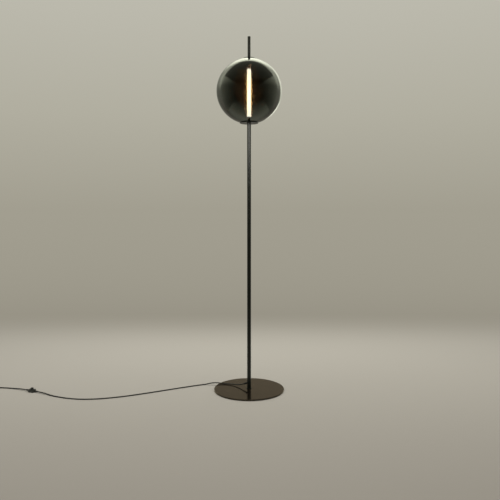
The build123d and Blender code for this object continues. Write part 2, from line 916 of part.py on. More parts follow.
coil_lead = cord_diameter
coil_enter = Vector(-1, 0, 0)
coil_leave = Vector(0, 1, 0)
with BuildPart() as cord_coil:
    with BuildLine() as coil_line:
        start = coil_point(0)
        heading = coil_enter
        Line(start - coil_enter * coil_lead, start)
        for quarter in range(1, quarters + 1):
            end = coil_point(quarter)
            end_heading = coil_heading(quarter) if quarter < quarters else coil_leave
            joint, joint_heading = biarc_joint(start, heading, end, end_heading)
            TangentArc(start, joint, tangent=heading)
            TangentArc(joint, end, tangent=joint_heading)
            start = end
            heading = end_heading
        Line(start, start + coil_leave * coil_lead)
    with BuildSketch(Plane(origin=coil_line.wire() @ 0, z_dir=coil_enter)):
        Circle(cord_radius)
    sweep()

coil_length = coil_line.wire().length
coil_share = cord_coil.part.volume / (pi * cord_radius**2 * coil_length)
coil_steps = round(coil_length / 2)
places = [coil_line.wire() @ (step / coil_steps) for step in range(coil_steps + 1)]
apart = round(4 * cord_diameter / 2)
least_gap = min(
    (places[i] - places[j]).length - cord_diameter
    for i in range(len(places))
    for j in range(i + apart, len(places))
)
print(f"cord coil: length {coil_length:.1f}, volume share {coil_share:.4f}, least gap {least_gap:.2f}")

# The tie closes round the bundle on its right, where both layers lie one above the other.
tie_quarter = 3
tie_outer = coil_radius(tie_quarter) + cord_radius
tie_inner = coil_radius(tie_quarter + 4 * (turns_in - 1)) - cord_radius
tie_middle = Vector(coil_x + (tie_outer + tie_inner) / 2, coil_y, lower_layer + turn_pitch / 2)
tie_hole_width = tie_outer - tie_inner + 2 * tie_gap
tie_hole_height = turn_pitch + cord_diameter + coil_rise - tie_thickness
tie_corner = cord_radius
with BuildPart() as coil_tie:
    with BuildSketch(Plane(origin=tie_middle, x_dir=(1, 0, 0), z_dir=(0, -1, 0))):
        RectangleRounded(
            tie_hole_width + 2 * tie_thickness,
            tie_hole_height + 2 * tie_thickness,
            tie_corner + tie_thickness,
        )
        RectangleRounded(tie_hole_width, tie_hole_height, tie_corner, mode=Mode.SUBTRACT)
    extrude(amount=tie_width / 2, both=True)

# ---------------------------------------------------------------- plug

plug_rear = Vector(*coil_to_plug[-1])
plug_plane = Plane(origin=plug_rear, x_dir=(0, 1, 0), z_dir=(0, 0, 1))
with BuildPart() as plug_body:
    with BuildSketch(plug_plane.offset(-plug_thickness / 2)):
        with BuildLine():
            Polyline(
                (0, -plug_rear_width / 2),
                (plug_waist, -plug_rear_width / 2),
                (plug_shoulder, -plug_width / 2),
                (plug_length, -plug_width / 2),
                (plug_length, plug_width / 2),
                (plug_shoulder, plug_width / 2),
                (plug_waist, plug_rear_width / 2),
                (0, plug_rear_width / 2),
                close=True,
            )
        make_face()
    extrude(amount=plug_thickness)
    fillet(plug_body.edges().filter_by(Axis.Z), plug_side_round)
    flat_faces = plug_body.faces().filter_by(Axis.Z)
    fillet(flat_faces.edges(), plug_edge_round)

plug_face = Plane(origin=plug_rear + Vector(0, plug_length, 0), x_dir=(1, 0, 0), z_dir=(0, 1, 0))
with BuildPart() as plug_pins:
    with BuildSketch(plug_face):
        with Locations((pin_spacing / 2, 0), (-pin_spacing / 2, 0)):
            Circle(pin_diameter / 2)
    extrude(amount=pin_length)
    fillet(plug_pins.faces().group_by(Axis.Y)[-1].edges(), pin_tip_round)

boot_heading = Vector(0, -1, 0)
with BuildPart() as plug_boot:
    revolve(
        outline(
            [
                (0, cord_radius + turned_gap),
                (0, boot_root_diameter / 2),
                (plug_boot_length, boot_tip_diameter / 2),
                (plug_boot_length, cord_radius + turned_gap),
            ],
            plug_rear,
            boot_heading,
        ),
        Axis(plug_rear, boot_heading),
    )

# ---------------------------------------------------------------- write every piece

pieces = {
    "base_pad": base_pad,
    "base_plate": base_plate,
    "base_bolt": base_bolt,
    "pole_foot_ring": pole_foot_ring,
    "pole_foot_insert": pole_foot_insert,
    "pole_tube": pole_tube,
    "cord_gland": cord_gland,
    "driver_board": driver_board,
    "driver_components": driver_components,
    "mains_cores": mains_cores,
    "light_cores": light_cores,
    "pole_top_hub": pole_top_hub,
    "threaded_nipple": threaded_nipple,
    "globe_carrier": globe_carrier,
    "bottom_gasket": bottom_gasket,
    "globe_glass": globe_glass,
    "top_gasket": top_gasket,
    "globe_top_cap": globe_top_cap,
    "top_cap_grub_screws": top_cap_grub_screws,
    "lower_rod": lower_rod,
    "diffuser_bottom_cap": diffuser_bottom_cap,
    "diffuser_top_cap": diffuser_top_cap,
    "light_bar": light_bar,
    "led_chips": led_chips,
    "diffuser_tube": diffuser_tube,
    "upper_rod": upper_rod,
    "rod_tip": rod_tip,
    "switch_lower_shell": switch_lower_shell,
    "switch_upper_shell": switch_upper_shell,
    "switch_button": switch_button,
    "switch_module": switch_module,
    "switch_spring": switch_spring,
    "switch_terminals": switch_terminals,
    "switch_cores": switch_cores,
    "switch_screws": switch_screws,
    "switch_boot_lamp_side": switch_boot_lamp_side,
    "switch_boot_plug_side": switch_boot_plug_side,
    "cord_lamp_to_switch": cord_lamp_to_switch,
    "cord_switch_to_coil": cord_switch_to_coil,
    "cord_coil": cord_coil,
    "cord_coil_to_plug": cord_coil_to_plug,
    "coil_tie": coil_tie,
    "plug_body": plug_body,
    "plug_pins": plug_pins,
    "plug_boot": plug_boot,
}
for side_name, led_strip in led_strips.items():
    pieces[f"led_strip_{side_name}"] = led_strip

for name, piece in pieces.items():
    piece.part.label = name
    export_step(piece.part, f"parts/{name}.step")
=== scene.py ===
import bpy
import numpy as np
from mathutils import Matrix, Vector


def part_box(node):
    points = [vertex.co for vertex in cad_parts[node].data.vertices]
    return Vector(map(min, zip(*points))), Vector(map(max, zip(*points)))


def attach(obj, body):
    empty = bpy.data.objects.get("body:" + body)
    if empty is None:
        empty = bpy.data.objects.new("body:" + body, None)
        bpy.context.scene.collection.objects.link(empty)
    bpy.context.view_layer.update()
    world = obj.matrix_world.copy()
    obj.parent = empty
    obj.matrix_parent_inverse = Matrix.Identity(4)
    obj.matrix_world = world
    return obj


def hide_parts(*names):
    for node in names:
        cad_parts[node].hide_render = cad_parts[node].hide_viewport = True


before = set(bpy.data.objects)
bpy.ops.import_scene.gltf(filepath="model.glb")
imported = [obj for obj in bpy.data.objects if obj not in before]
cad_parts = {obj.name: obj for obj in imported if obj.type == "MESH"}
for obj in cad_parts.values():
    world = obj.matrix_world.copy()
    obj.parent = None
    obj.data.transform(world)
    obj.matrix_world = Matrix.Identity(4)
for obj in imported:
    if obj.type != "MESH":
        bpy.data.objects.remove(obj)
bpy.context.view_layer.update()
scene = bpy.context.scene
scene.view_settings.view_transform = "Standard"
print("frame loaded with", len(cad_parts), "nodes")


def toLinear(hexColor):
    # sRGB to linear: c / 12.92 up to 0.04045, above it ((c + 0.055) / 1.055) ^ 2.4
    values = np.array([int(hexColor[i : i + 2], 16) for i in (1, 3, 5)]) / 255
    linear = np.where(values <= 0.04045, values / 12.92, ((values + 0.055) / 1.055) ** 2.4)
    return (*linear.tolist(), 1.0)


def addNode(tree, kind, sockets=None, **settings):
    # one node with its settings; an output given for a socket is linked, anything else is written
    node = tree.nodes.new("ShaderNode" + kind)
    for name, value in settings.items():
        setattr(node, name, value)
    for name, value in (sockets or {}).items():
        if isinstance(value, bpy.types.NodeSocket):
            tree.links.new(value, node.inputs[name])
        else:
            node.inputs[name].default_value = value
    return node


def newMaterial(name):
    material = bpy.data.materials.new(name)
    material.use_nodes = True
    material.node_tree.nodes.clear()
    return material, material.node_tree


# what every finish shares: the detail of its two noises, and the spans of them that it uses
noiseValues = {
    "wideDetail": 4.0,
    "fineDetail": 2.0,
    "toneSpan": (0.3, 0.7),
    "roughSpan": (0.12, 0.4),
    "bumpShare": 0.5,
}


def makeFinish(name, values):
    # wide noise mixes the two colours, fine noise spreads the roughness and raises the surface;
    # sizes are in millimetres, and a small stretch draws the pattern out along that axis
    material, tree = newMaterial(name)
    place = addNode(tree, "TexCoord").outputs["Object"]
    stretched = addNode(
        tree, "Mapping", {"Vector": place, "Scale": values.get("stretch", (1, 1, 1))}
    ).outputs[0]
    wide, fine = (
        addNode(
            tree,
            "TexNoise",
            {"Vector": stretched, "Scale": 1000 / values[size], "Detail": noiseValues[detail]},
        ).outputs["Fac"]
        for size, detail in (("toneSize", "wideDetail"), ("grainSize", "fineDetail"))
    )
    toneLow, toneHigh = noiseValues["toneSpan"]
    tone = addNode(tree, "MapRange", {"Value": wide, "From Min": toneLow, "From Max": toneHigh})
    color = addNode(
        tree,
        "Mix",
        {0: tone.outputs[0], 6: toLinear(values["dark"]), 7: toLinear(values["light"])},
        data_type="RGBA",
    ).outputs[2]
    blend = addNode(tree, "Math", {0: wide, 1: fine}, operation="MULTIPLY")
    rough = addNode(
        tree,
        "MapRange",
        {
            "Value": blend.outputs[0],
            "From Min": noiseValues["roughSpan"][0],
            "From Max": noiseValues["roughSpan"][1],
            "To Min": values["smooth"],
            "To Max": values["rough"],
        },
    )
    bump = addNode(
        tree,
        "Bump",
        {
            "Height": fine,
            "Strength": noiseValues["bumpShare"],
            "Distance": values["grainDepth"] / 1000,
        },
    )
    sockets = {"Base Color": color, "Roughness": rough.outputs[0], "Normal": bump.outputs[0]}
    sockets.update(values.get("sockets", {}))
    shader = addNode(tree, "BsdfPrincipled", sockets)
    addNode(tree, "OutputMaterial", {"Surface": shader.outputs[0]})
    return material


def gridMesh(name, points, closed=False):
    # points is (rows, columns, 3), and each quad joins a place to the next row and column; closed
    # also joins the last row and column to the first, as the wall of a turned piece
    rows, columns = points.shape[:2]
    index = np.arange(rows * columns).reshape(rows, columns)
    if closed:
        index = np.pad(index, ((0, 1), (0, 1)), mode="wrap")
    quads = np.stack([index[:-1, :-1], index[:-1, 1:], index[1:, 1:], index[1:, :-1]], axis=-1)
    mesh = bpy.data.meshes.new(name)
    mesh.from_pydata(points.reshape(-1, 3).tolist(), [], quads.reshape(-1, 4).tolist())
    mesh.update()
    return mesh


def turnedPoints(origin, heading, profile, columns):
    # a profile of (distance along the heading, radius) carried round it: origin + distance *
    # heading + radius * (cos a * side + sin a * other)
    heading = np.array(Vector(heading).normalized())
    side = np.array(Vector(heading).orthogonal().normalized())
    other = np.cross(heading, side)
    angles = np.linspace(0, 2 * np.pi, columns, endpoint=False)
    ring = np.cos(angles)[:, None] * side + np.sin(angles)[:, None] * other
    profile = np.asarray(profile, float)
    return (
        np.array(origin, float)
        + profile[:, 0, None, None] * heading
        + profile[:, 1, None, None] * ring[None]
    )


def newPiece(name, mesh, materials, creaseAngle=35):
    # smooth shading, with creases kept above the angle
    piece = bpy.data.objects.new(name, mesh)
    scene.collection.objects.link(piece)
    mesh.shade_smooth()
    mesh.set_sharp_from_angle(angle=np.radians(creaseAngle))
    for material in materials:
        mesh.materials.append(material)
    return piece


# camera, level and straight at the lamp
cameraValues = {
    "place": (0.0043, -2.646, 0.827),
    "lens": 41.4,
    "sensor": 36.0,
    "shiftY": -0.08,  # the horizon stands 40 of 500 pixels above the middle
}
cameraData = bpy.data.cameras.new("lampCamera")
cameraData.lens = cameraValues["lens"]
cameraData.sensor_width = cameraValues["sensor"]
cameraData.shift_y = cameraValues["shiftY"]
camera = bpy.data.objects.new("lampCamera", cameraData)
camera.location = cameraValues["place"]
camera.rotation_euler = (np.pi / 2, 0, 0)
scene.collection.objects.link(camera)
scene.camera = camera
print("camera placed")

# cords: PVC-jacketed round mains cord, extruded: an even satin skin with a faint orange peel
cordPvc = makeFinish(
    "extruded PVC cord jacket",
    {
        "dark": "#0e0e0c",
        "light": "#171714",
        "toneSize": 30,
        "grainSize": 0.7,
        "grainDepth": 0.05,
        "smooth": 0.38,
        "rough": 0.5,
    },
)
cordValues = {
    "diameter": 0.005,
    "stepsPerPlace": 8,
    "bevelSteps": 4,
    # from inside the pole over the base and along the floor to the foot switch
    "lampToSwitch": [
        (-0.00286, 0.00143, 0.0336),
        (-0.04, 0.02, 0.0152),
        (-0.078, 0.0495, 0.011),
        (-0.115, 0.0615, 0.0097),
        (-0.146, 0.066, 0.0125),
        (-0.176, 0.0705, 0.0105),
        (-0.206, 0.074, 0.0026),
        (-0.238, 0.0615, 0.0026),
        (-0.296, 0.0315, 0.0026),
        (-0.362, -0.0035, 0.0026),
        (-0.427, -0.0392, 0.0026),
        (-0.493, -0.074, 0.0026),
        (-0.558, -0.1045, 0.0026),
        (-0.622, -0.127, 0.0026),
        (-0.682, -0.14, 0.0026),
        (-0.736, -0.141, 0.0026),
        (-0.786, -0.1315, 0.0026),
        (-0.834, -0.113, 0.0026),
        (-0.88, -0.0905, 0.0026),
        (-0.9307, -0.056, 0.0055),
        (-0.9769, -0.0355, 0.0055),
    ],
    # from the foot switch to the coil, and from the coil to the plug
    "switchToCoil": [
        (-0.9971, -0.0265, 0.0055),
        (-1.0433, -0.00605, 0.0055),
        (-1.086, 0.011, 0.0026),
        (-1.131, 0.0205, 0.0026),
        (-1.1785, 0.024, 0.0035),
        (-1.223, 0.024, 0.0035),
    ],
    "coilToPlug": [
        (-1.2646, 0.067, 0.009),
        (-1.2646, 0.088, 0.009),
        (-1.266, 0.125, 0.007),
        (-1.266, 0.162, 0.007),
    ],
    "coilMiddle": (-1.228, 0.062),
    "coilOuter": 0.038,
    "coilPitch": 0.0055,
    "coilLow": 0.0035,
    "quartersIn": 12,
    "quartersUp": 2,
    "quartersOut": 11,
    "placesPerTurn": 16,
}


def coilPoints(values):
    # spiral of steady pitch: radius = smallest + pitch * |q - turning| / 4 at quarter turn q, and a
    # climb of one pitch while the spiral reverses; the radius is grown by what the curve cuts off
    total = values["quartersIn"] + values["quartersUp"] + values["quartersOut"]
    turning = values["quartersIn"] + values["quartersUp"] / 2
    step = 4 / values["placesPerTurn"]
    quarter = np.arange(step, total, step)
    smallest = values["coilOuter"] - values["coilPitch"] * turning / 4
    radius = smallest + values["coilPitch"] * np.abs(quarter - turning) / 4
    radius = radius / np.cos(np.pi / values["placesPerTurn"])
    climb = np.clip((quarter - values["quartersIn"]) / values["quartersUp"], 0, 1)
    angle = np.radians(-90 - 90 * quarter)
    return np.column_stack(
        [
            values["coilMiddle"][0] + radius * np.cos(angle),
            values["coilMiddle"][1] + radius * np.sin(angle),
            values["coilLow"] + values["coilPitch"] * climb,
        ]
    ).tolist()


def newCord(name, points, values, material):
    # one open NURBS spline with the route's points as its control points
    curve = bpy.data.curves.new(name, "CURVE")
    curve.dimensions = "3D"
    curve.resolution_u = values["stepsPerPlace"]
    curve.bevel_depth = values["diameter"] / 2
    curve.bevel_resolution = values["bevelSteps"]
    curve.use_fill_caps = True
    spline = curve.splines.new("NURBS")
    spline.points.add(len(points) - 1)
    for place, point in zip(spline.points, points):
        place.co = (*point, 1)
    spline.order_u = 3
    spline.use_endpoint_u = True
    curve.materials.append(material)
    cord = bpy.data.objects.new(name, curve)
    scene.collection.objects.link(cord)
    return cord


lampCord = newCord("lamp_cord", cordValues["lampToSwitch"], cordValues, cordPvc)
plugRoute = cordValues["switchToCoil"] + coilPoints(cordValues) + cordValues["coilToPlug"]
plugCord = newCord("plug_cord", plugRoute, cordValues, cordPvc)
for cord, stands in (
    (lampCord, ["cord_lamp_to_switch"]),
    (plugCord, ["cord_switch_to_coil", "cord_coil", "cord_coil_to_plug"]),
):
    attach(cord, "lamp")
    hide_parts(*stands)
print("cords laid")

# stage: a pale floor without an end, a pale world, and the studio's walls for the reflections
stageValues = {
    "floorPale": "#afaca2",
    "floorPaintedShade": "#969289",  # painted shade: the floor darker toward the camera, standing in for the lamps' light falling off
    "paintedShadeReach": (-1.6, 0.75),  # metres in front of and behind the lamp, from the painted shade to pale
    "paleReach": (3.3, 1.4),  # metres from the lamp, where the floor turns into the background
    "paleEdge": 0.45,
    "oblongPower": 6.0,  # how square the rounded oblong is, where it turns
    "floorReach": 60,
    "farNear": "#948f82",  # background just past the floor's edge
    "farOut": "#a29e90",  # and at the horizon
    "skyMiddle": "#b1aea0",
    "skyHigh": "#c0beb2",
    "skyRises": (0.0, 0.16, 0.4),  # sines of the rises at the horizon, skyMiddle and skyHigh
    "skyLight": 0.45,  # on matt surfaces
    "skyLightTint": (1, 0.97, 0.93, 1),
    "wallReach": 1.7,
    "ceiling": 2.6,
    "ceilingFall": 0.2,  # per metre toward the camera
    "fallStart": 0.7,  # depth where the ceiling starts to fall
    "frontReach": -3.2,
    "backReach": 2.0,
    "carpetHeight": 0.004,
    "cardSteps": (33, 9),
    "globeMiddle": 1.3739,
    "viewRise": 11.7,  # degrees, from the camera up to the globe's middle
    "ringAngle": 65.5,  # degrees, the studio's walls end this far off the line of sight
    "lightTint": (0.99, 1, 0.82, 1),
    "lowTint": (1, 0.93, 0.78, 1),
    # ramps of glow: axis, from, to, glow at from, glow at to
    "wallRamps": (
        ("Y", -1.7, 0.9, 0.12, 0.68),
        ("Z", 1.7, 2.3, 1.0, 2.15),
        ("Z", 0.4, 1.3, 0.6, 1.0),
    ),
    "ceilingRamps": (("Y", -1.9, 0.6, 0.02, 0.36),),
    "frontRamps": (("Z", 0.5, 1.7, 0.07, 0.06),),
    "carpetRamps": (("Y", -1.5, 0.5, 0.08, 0.8), ("Y", 0.6, 1.8, 1.0, 0.4)),
}
backdropValues = {
    "halfWidth": 5,
    "height": 6.5,
    # from, to, glow at from, glow at to: over the height, and over the distance from the middle
    "rise": (1.6, 3.2, 0.32, 1.0),
    "aside": (1.6, 3.0, 1.0, 1.9),
    "warmSpan": (1.3, 0.7),  # heights between which its light turns warm
    # middle, half size, shares of it between which the glow fades, glow
    "patches": (
        ((0.1, 4.4), (2.4, 1.9), (0.35, 1.1), 3.4),  # above the lamp
        ((1.15, 2.2), (0.8, 0.9), (0.3, 1.3), 1.3),  # right of it
        ((0.62, 1.3), (0.32, 0.3), (0.3, 1.3), 2.2),  # low on the right, a thin gleam at the rim
    ),
}

floorMaterial, tree = newMaterial("matt floor paint")
floorMaterial.cycles.emission_sampling = "NONE"
floorPlace = addNode(tree, "TexCoord").outputs["Object"]
apart = addNode(tree, "SeparateXYZ", {"Vector": floorPlace})
# distance outward is 1 on the rounded oblong (|x| / a)^power + (|y| / b)^power = 1
power = stageValues["oblongPower"]
shares = []
for axis, reach in zip("XY", stageValues["paleReach"]):
    share = addNode(tree, "Math", {0: apart.outputs[axis], 1: reach}, operation="DIVIDE")
    size = addNode(tree, "Math", {0: share.outputs[0]}, operation="ABSOLUTE")
    raised = addNode(tree, "Math", {0: size.outputs[0], 1: power}, operation="POWER")
    shares.append(raised.outputs[0])
both = addNode(tree, "Math", {0: shares[0], 1: shares[1]}, operation="ADD")
outward = addNode(tree, "Math", {0: both.outputs[0], 1: 1 / power}, operation="POWER")
farShare = addNode(
    tree,
    "MapRange",
    {
        "Value": outward.outputs[0],
        "From Min": 1 - stageValues["paleEdge"],
        "From Max": 1 + stageValues["paleEdge"],
    },
    interpolation_type="SMOOTHSTEP",
)
nearness = addNode(
    tree, "Math", {0: 1.0, 1: outward.outputs[0]}, operation="DIVIDE", use_clamp=True
)
farTone = addNode(
    tree,
    "Mix",
    {
        0: nearness.outputs[0],
        6: toLinear(stageValues["farOut"]),
        7: toLinear(stageValues["farNear"]),
    },
    data_type="RGBA",
)
# painted shade: the floor's colour darkens toward the camera in place of the lamps' light falling
# off
paleShare = addNode(
    tree,
    "MapRange",
    {
        "Value": apart.outputs["Y"],
        "From Min": stageValues["paintedShadeReach"][0],
        "From Max": stageValues["paintedShadeReach"][1],
    },
    interpolation_type="SMOOTHSTEP",
)
floorTone = addNode(
    tree,
    "Mix",
    {
        0: paleShare.outputs[0],
        6: toLinear(stageValues["floorPaintedShade"]),
        7: toLinear(stageValues["floorPale"]),
    },
    data_type="RGBA",
)
floorShader = addNode(tree, "BsdfDiffuse", {"Color": floorTone.outputs[2]})
farShader = addNode(tree, "Emission", {"Color": farTone.outputs[2]})
floorMix = addNode(
    tree, "MixShader", {0: farShare.outputs[0], 1: floorShader.outputs[0], 2: farShader.outputs[0]}
)
addNode(tree, "OutputMaterial", {"Surface": floorMix.outputs[0]})

floorCorners = np.array([[(-1, -1, 0), (1, -1, 0)], [(-1, 1, 0), (1, 1, 0)]], float)
floorMesh = gridMesh("studio_floor", floorCorners * stageValues["floorReach"])
floorMesh.materials.append(floorMaterial)
floor = bpy.data.objects.new("studio_floor", floorMesh)
scene.collection.objects.link(floor)

world = bpy.data.worlds.new("pale world")
scene.world = world
world.use_nodes = True
tree = world.node_tree
tree.nodes.clear()
heading = addNode(tree, "TexCoord").outputs["Generated"]
rise = addNode(tree, "SeparateXYZ", {"Vector": heading}).outputs["Z"]
horizon, halfway, top = stageValues["skyRises"]
skyTone = toLinear(stageValues["farOut"])
for start, end, tone in ((horizon, halfway, "skyMiddle"), (halfway, top, "skyHigh")):
    share = addNode(tree, "MapRange", {"Value": rise, "From Min": start, "From Max": end})
    skyTone = addNode(
        tree,
        "Mix",
        {0: share.outputs[0], 6: skyTone, 7: toLinear(stageValues[tone])},
        data_type="RGBA",
    ).outputs[2]
# the camera, mirrors and glass see the toned sky, and matt surfaces are lit by a plain one
seen = addNode(tree, "LightPath")
seenAny = seen.outputs["Is Camera Ray"]
for ray in ("Is Glossy Ray", "Is Transmission Ray"):
    seenAny = addNode(
        tree, "Math", {0: seenAny, 1: seen.outputs[ray]}, operation="MAXIMUM"
    ).outputs[0]
lightSky = addNode(
    tree,
    "Background",
    {"Color": stageValues["skyLightTint"], "Strength": stageValues["skyLight"]},
)
shownSky = addNode(tree, "Background", {"Color": skyTone, "Strength": 1.0})
sky = addNode(tree, "MixShader", {0: seenAny, 1: lightSky.outputs[0], 2: shownSky.outputs[0]})
addNode(tree, "OutputWorld", {"Surface": sky.outputs[0]})


def newCard(name, points, material):
    # an open sheet that only reflections see
    mesh = gridMesh(name, points)
    mesh.materials.append(material)
    card = bpy.data.objects.new(name, mesh)
    scene.collection.objects.link(card)
    card.visible_camera = False
    card.visible_diffuse = False
    card.visible_transmission = False
    card.visible_shadow = False
    card.visible_volume_scatter = False


def cardMaterial(name, ramps):
    # glow is the product of the ramps, each smooth along one axis
    material, tree = newMaterial(name)
    material.cycles.emission_sampling = "NONE"
    place = addNode(tree, "TexCoord").outputs["Object"]
    apart = addNode(tree, "SeparateXYZ", {"Vector": place})
    glow = 1.0
    for axis, start, end, low, high in ramps:
        ramp = addNode(
            tree,
            "MapRange",
            {
                "Value": apart.outputs[axis],
                "From Min": start,
                "From Max": end,
                "To Min": low,
                "To Max": high,
            },
            interpolation_type="SMOOTHSTEP",
        )
        glow = addNode(tree, "Math", {0: glow, 1: ramp.outputs[0]}, operation="MULTIPLY").outputs[0]
    emission = addNode(tree, "Emission", {"Color": stageValues["lightTint"], "Strength": glow})
    addNode(tree, "OutputMaterial", {"Surface": emission.outputs[0]})
    return material


def backEdge(x, z):
    # depth y where the direction (x, y, z - middle) stands ringAngle off the tilted line of sight:
    # (y cos t + h sin t)^2 = cos^2(ringAngle) (x^2 + y^2 + h^2), solved for y
    rise = np.radians(stageValues["viewRise"])
    share = np.cos(np.radians(stageValues["ringAngle"])) ** 2
    h = z - stageValues["globeMiddle"]
    along, up = np.cos(rise), np.sin(rise) * h
    square = along**2 - share
    root = np.sqrt((along * up) ** 2 - square * (up**2 - share * (x**2 + h**2)))
    return (-along * up + root) / square


reach, ceiling = stageValues["wallReach"], stageValues["ceiling"]
front, back = stageValues["frontReach"], stageValues["backReach"]
rows, columns = stageValues["cardSteps"]
shares = np.linspace(0, 1, columns)
levels, along = np.meshgrid(np.linspace(0, ceiling, rows), shares, indexing="ij")
wallDepth = front + along * (backEdge(reach, levels) - front)
wallMaterial = cardMaterial("studio wall", stageValues["wallRamps"])
for name, side in (("left", -reach), ("right", reach)):
    wallPoints = np.stack([side + 0 * levels, wallDepth, levels], axis=-1)
    newCard("studio_wall_" + name, wallPoints, wallMaterial)
breadth, along = np.meshgrid(np.linspace(-reach, reach, rows), shares, indexing="ij")
ceilingDepth = front + along * (backEdge(breadth, ceiling) - front)
ceilingDrop = stageValues["ceilingFall"] * np.clip(stageValues["fallStart"] - ceilingDepth, 0, None)
newCard(
    "studio_ceiling",
    np.stack([breadth, ceilingDepth, ceiling - ceilingDrop], axis=-1),
    cardMaterial("studio ceiling", stageValues["ceilingRamps"]),
)
# four corners: across is -1 or 1, and onward is 0 or 1
across, onward = np.meshgrid([-1.0, 1.0], [0.0, 1.0])
flat = 0 * across
newCard(
    "studio_front",
    np.stack([across * reach, front + flat, onward * ceiling], axis=-1),
    cardMaterial("studio front wall", stageValues["frontRamps"]),
)
# what the globe mirrors of the floor: dark toward the camera, brightest just behind the lamp
carpetHeight = stageValues["carpetHeight"] + flat
newCard(
    "studio_carpet",
    np.stack([across * reach, front + onward * (back - front), carpetHeight], axis=-1),
    cardMaterial("studio carpet", stageValues["carpetRamps"]),
)
# the backdrop: warm and dim low down, pale higher up, with soft bright patches
backMaterial, tree = newMaterial("studio backdrop")
backMaterial.cycles.emission_sampling = "NONE"
backPlace = addNode(tree, "TexCoord").outputs["Object"]
backApart = addNode(tree, "SeparateXYZ", {"Vector": backPlace})
backHeight = backApart.outputs["Z"]
backAside = addNode(tree, "Math", {0: backApart.outputs["X"]}, operation="ABSOLUTE").outputs[0]
backGlow = 1.0
for value, ramp in ((backHeight, "rise"), (backAside, "aside")):
    start, end, low, high = backdropValues[ramp]
    share = addNode(
        tree,
        "MapRange",
        {"Value": value, "From Min": start, "From Max": end, "To Min": low, "To Max": high},
        interpolation_type="SMOOTHSTEP",
    )
    backGlow = addNode(
        tree, "Math", {0: backGlow, 1: share.outputs[0]}, operation="MULTIPLY"
    ).outputs[0]
for middle, halfSize, fade, strength in backdropValues["patches"]:
    # distance from the patch's middle, counted in its half sizes
    offset = addNode(
        tree, "VectorMath", {0: backPlace, 1: (middle[0], back, middle[1])}, operation="SUBTRACT"
    )
    share = addNode(
        tree,
        "VectorMath",
        {0: offset.outputs[0], 1: (1 / halfSize[0], 1, 1 / halfSize[1])},
        operation="MULTIPLY",
    )
    distance = addNode(tree, "VectorMath", {0: share.outputs[0]}, operation="LENGTH")
    patchGlow = addNode(
        tree,
        "MapRange",
        {
            "Value": distance.outputs["Value"],
            "From Min": fade[0],
            "From Max": fade[1],
            "To Min": strength,
            "To Max": 0.0,
        },
        interpolation_type="SMOOTHSTEP",
    )
    backGlow = addNode(
        tree, "Math", {0: backGlow, 1: patchGlow.outputs[0]}, operation="ADD"
    ).outputs[0]
warmStart, warmEnd = backdropValues["warmSpan"]
warmShare = addNode(
    tree,
    "MapRange",
    {"Value": backHeight, "From Min": warmStart, "From Max": warmEnd},
    interpolation_type="SMOOTHSTEP",
)
backTint = addNode(
    tree,
    "Mix",
    {0: warmShare.outputs[0], 6: stageValues["lightTint"], 7: stageValues["lowTint"]},
    data_type="RGBA",
)
backShine = addNode(tree, "Emission", {"Color": backTint.outputs[2], "Strength": backGlow})
addNode(tree, "OutputMaterial", {"Surface": backShine.outputs[0]})
backWidth, backTop = backdropValues["halfWidth"], backdropValues["height"]
newCard(
    "studio_backdrop",
    np.stack([across * backWidth, back + flat, onward * backTop], axis=-1),
    backMaterial,
)

lightValues = {
    "overhead_light": {
        "place": (0, 0.7, 3.4),
        "target": (0, 0.5, 0),
        "size": (3.0, 2.6),
        "power": 90,
        "color": (1, 0.98, 0.95),
    },
    "front_light": {
        "place": (-0.7, -3.0, 2.4),
        "target": (-0.1, 0, 0.6),
        "size": (1.6, 1.6),
        "power": 16,
        "color": (1, 0.98, 0.96),
    },
    # a low broad softbox for the sheen on the pole's top and on the rod, kept off the glass
    "sheen_softbox": {
        "place": (0, -0.7, 1.37),
        "target": (0, 0, 1.37),
        "size": (1.6, 0.5),
        "power": 15,
        "color": (1, 0.99, 0.9),
    },
}


def newLight(name, values):
    data = bpy.data.lights.new(name, "AREA")
    data.shape = "RECTANGLE"
    data.size, data.size_y = values["size"]
    data.energy = values["power"]
    data.color = values["color"]
    light = bpy.data.objects.new(name, data)
    light.location = values["place"]
    sight = Vector(values["target"]) - Vector(values["place"])
    light.rotation_euler = sight.to_track_quat("-Z", "Y").to_euler()
    light.visible_glossy = False
    light.visible_transmission = False
    scene.collection.objects.link(light)
    return light


lights = {name: newLight(name, values) for name, values in lightValues.items()}
sheen = lights["sheen_softbox"]
sheen.visible_glossy = True
sheen.visible_camera = False
sheenTargets = bpy.data.collections.new("sheen targets")
for name in ("pole_tube", "pole_top_hub", "upper_rod", "rod_tip"):
    sheenTargets.objects.link(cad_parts[name])
sheen.light_linking.receiver_collection = sheenTargets
print("stage built")

# lacquers
# stoved satin black lacquer on drawn steel tube: near black with a soft upright sheen
satinLacquer = makeFinish(
    "satin black stoving lacquer",
    {
        "dark": "#0c0d0a",
        "light": "#14150f",
        "toneSize": 60,
        "grainSize": 0.8,
        "grainDepth": 0.03,
        "smooth": 0.26,
        "rough": 0.36,
        "sockets": {"Specular IOR Level": 0.3},
    },
)
# stoved bronze-brown lacquer on a laser-cut steel plate: semi-gloss, mirrors the pole and cord
bronzeLacquer = makeFinish(
    "semi-gloss bronze lacquer",
    {
        "dark": "#342e26",
        "light": "#3f382f",
        "toneSize": 45,
        "grainSize": 0.9,
        "grainDepth": 0.02,
        "smooth": 0.1,
        "rough": 0.19,
        "sockets": {"Metallic": 0.85, "Specular Tint": (1, 0.92, 0.8, 1)},
    },
)
print("lacquers mixed")

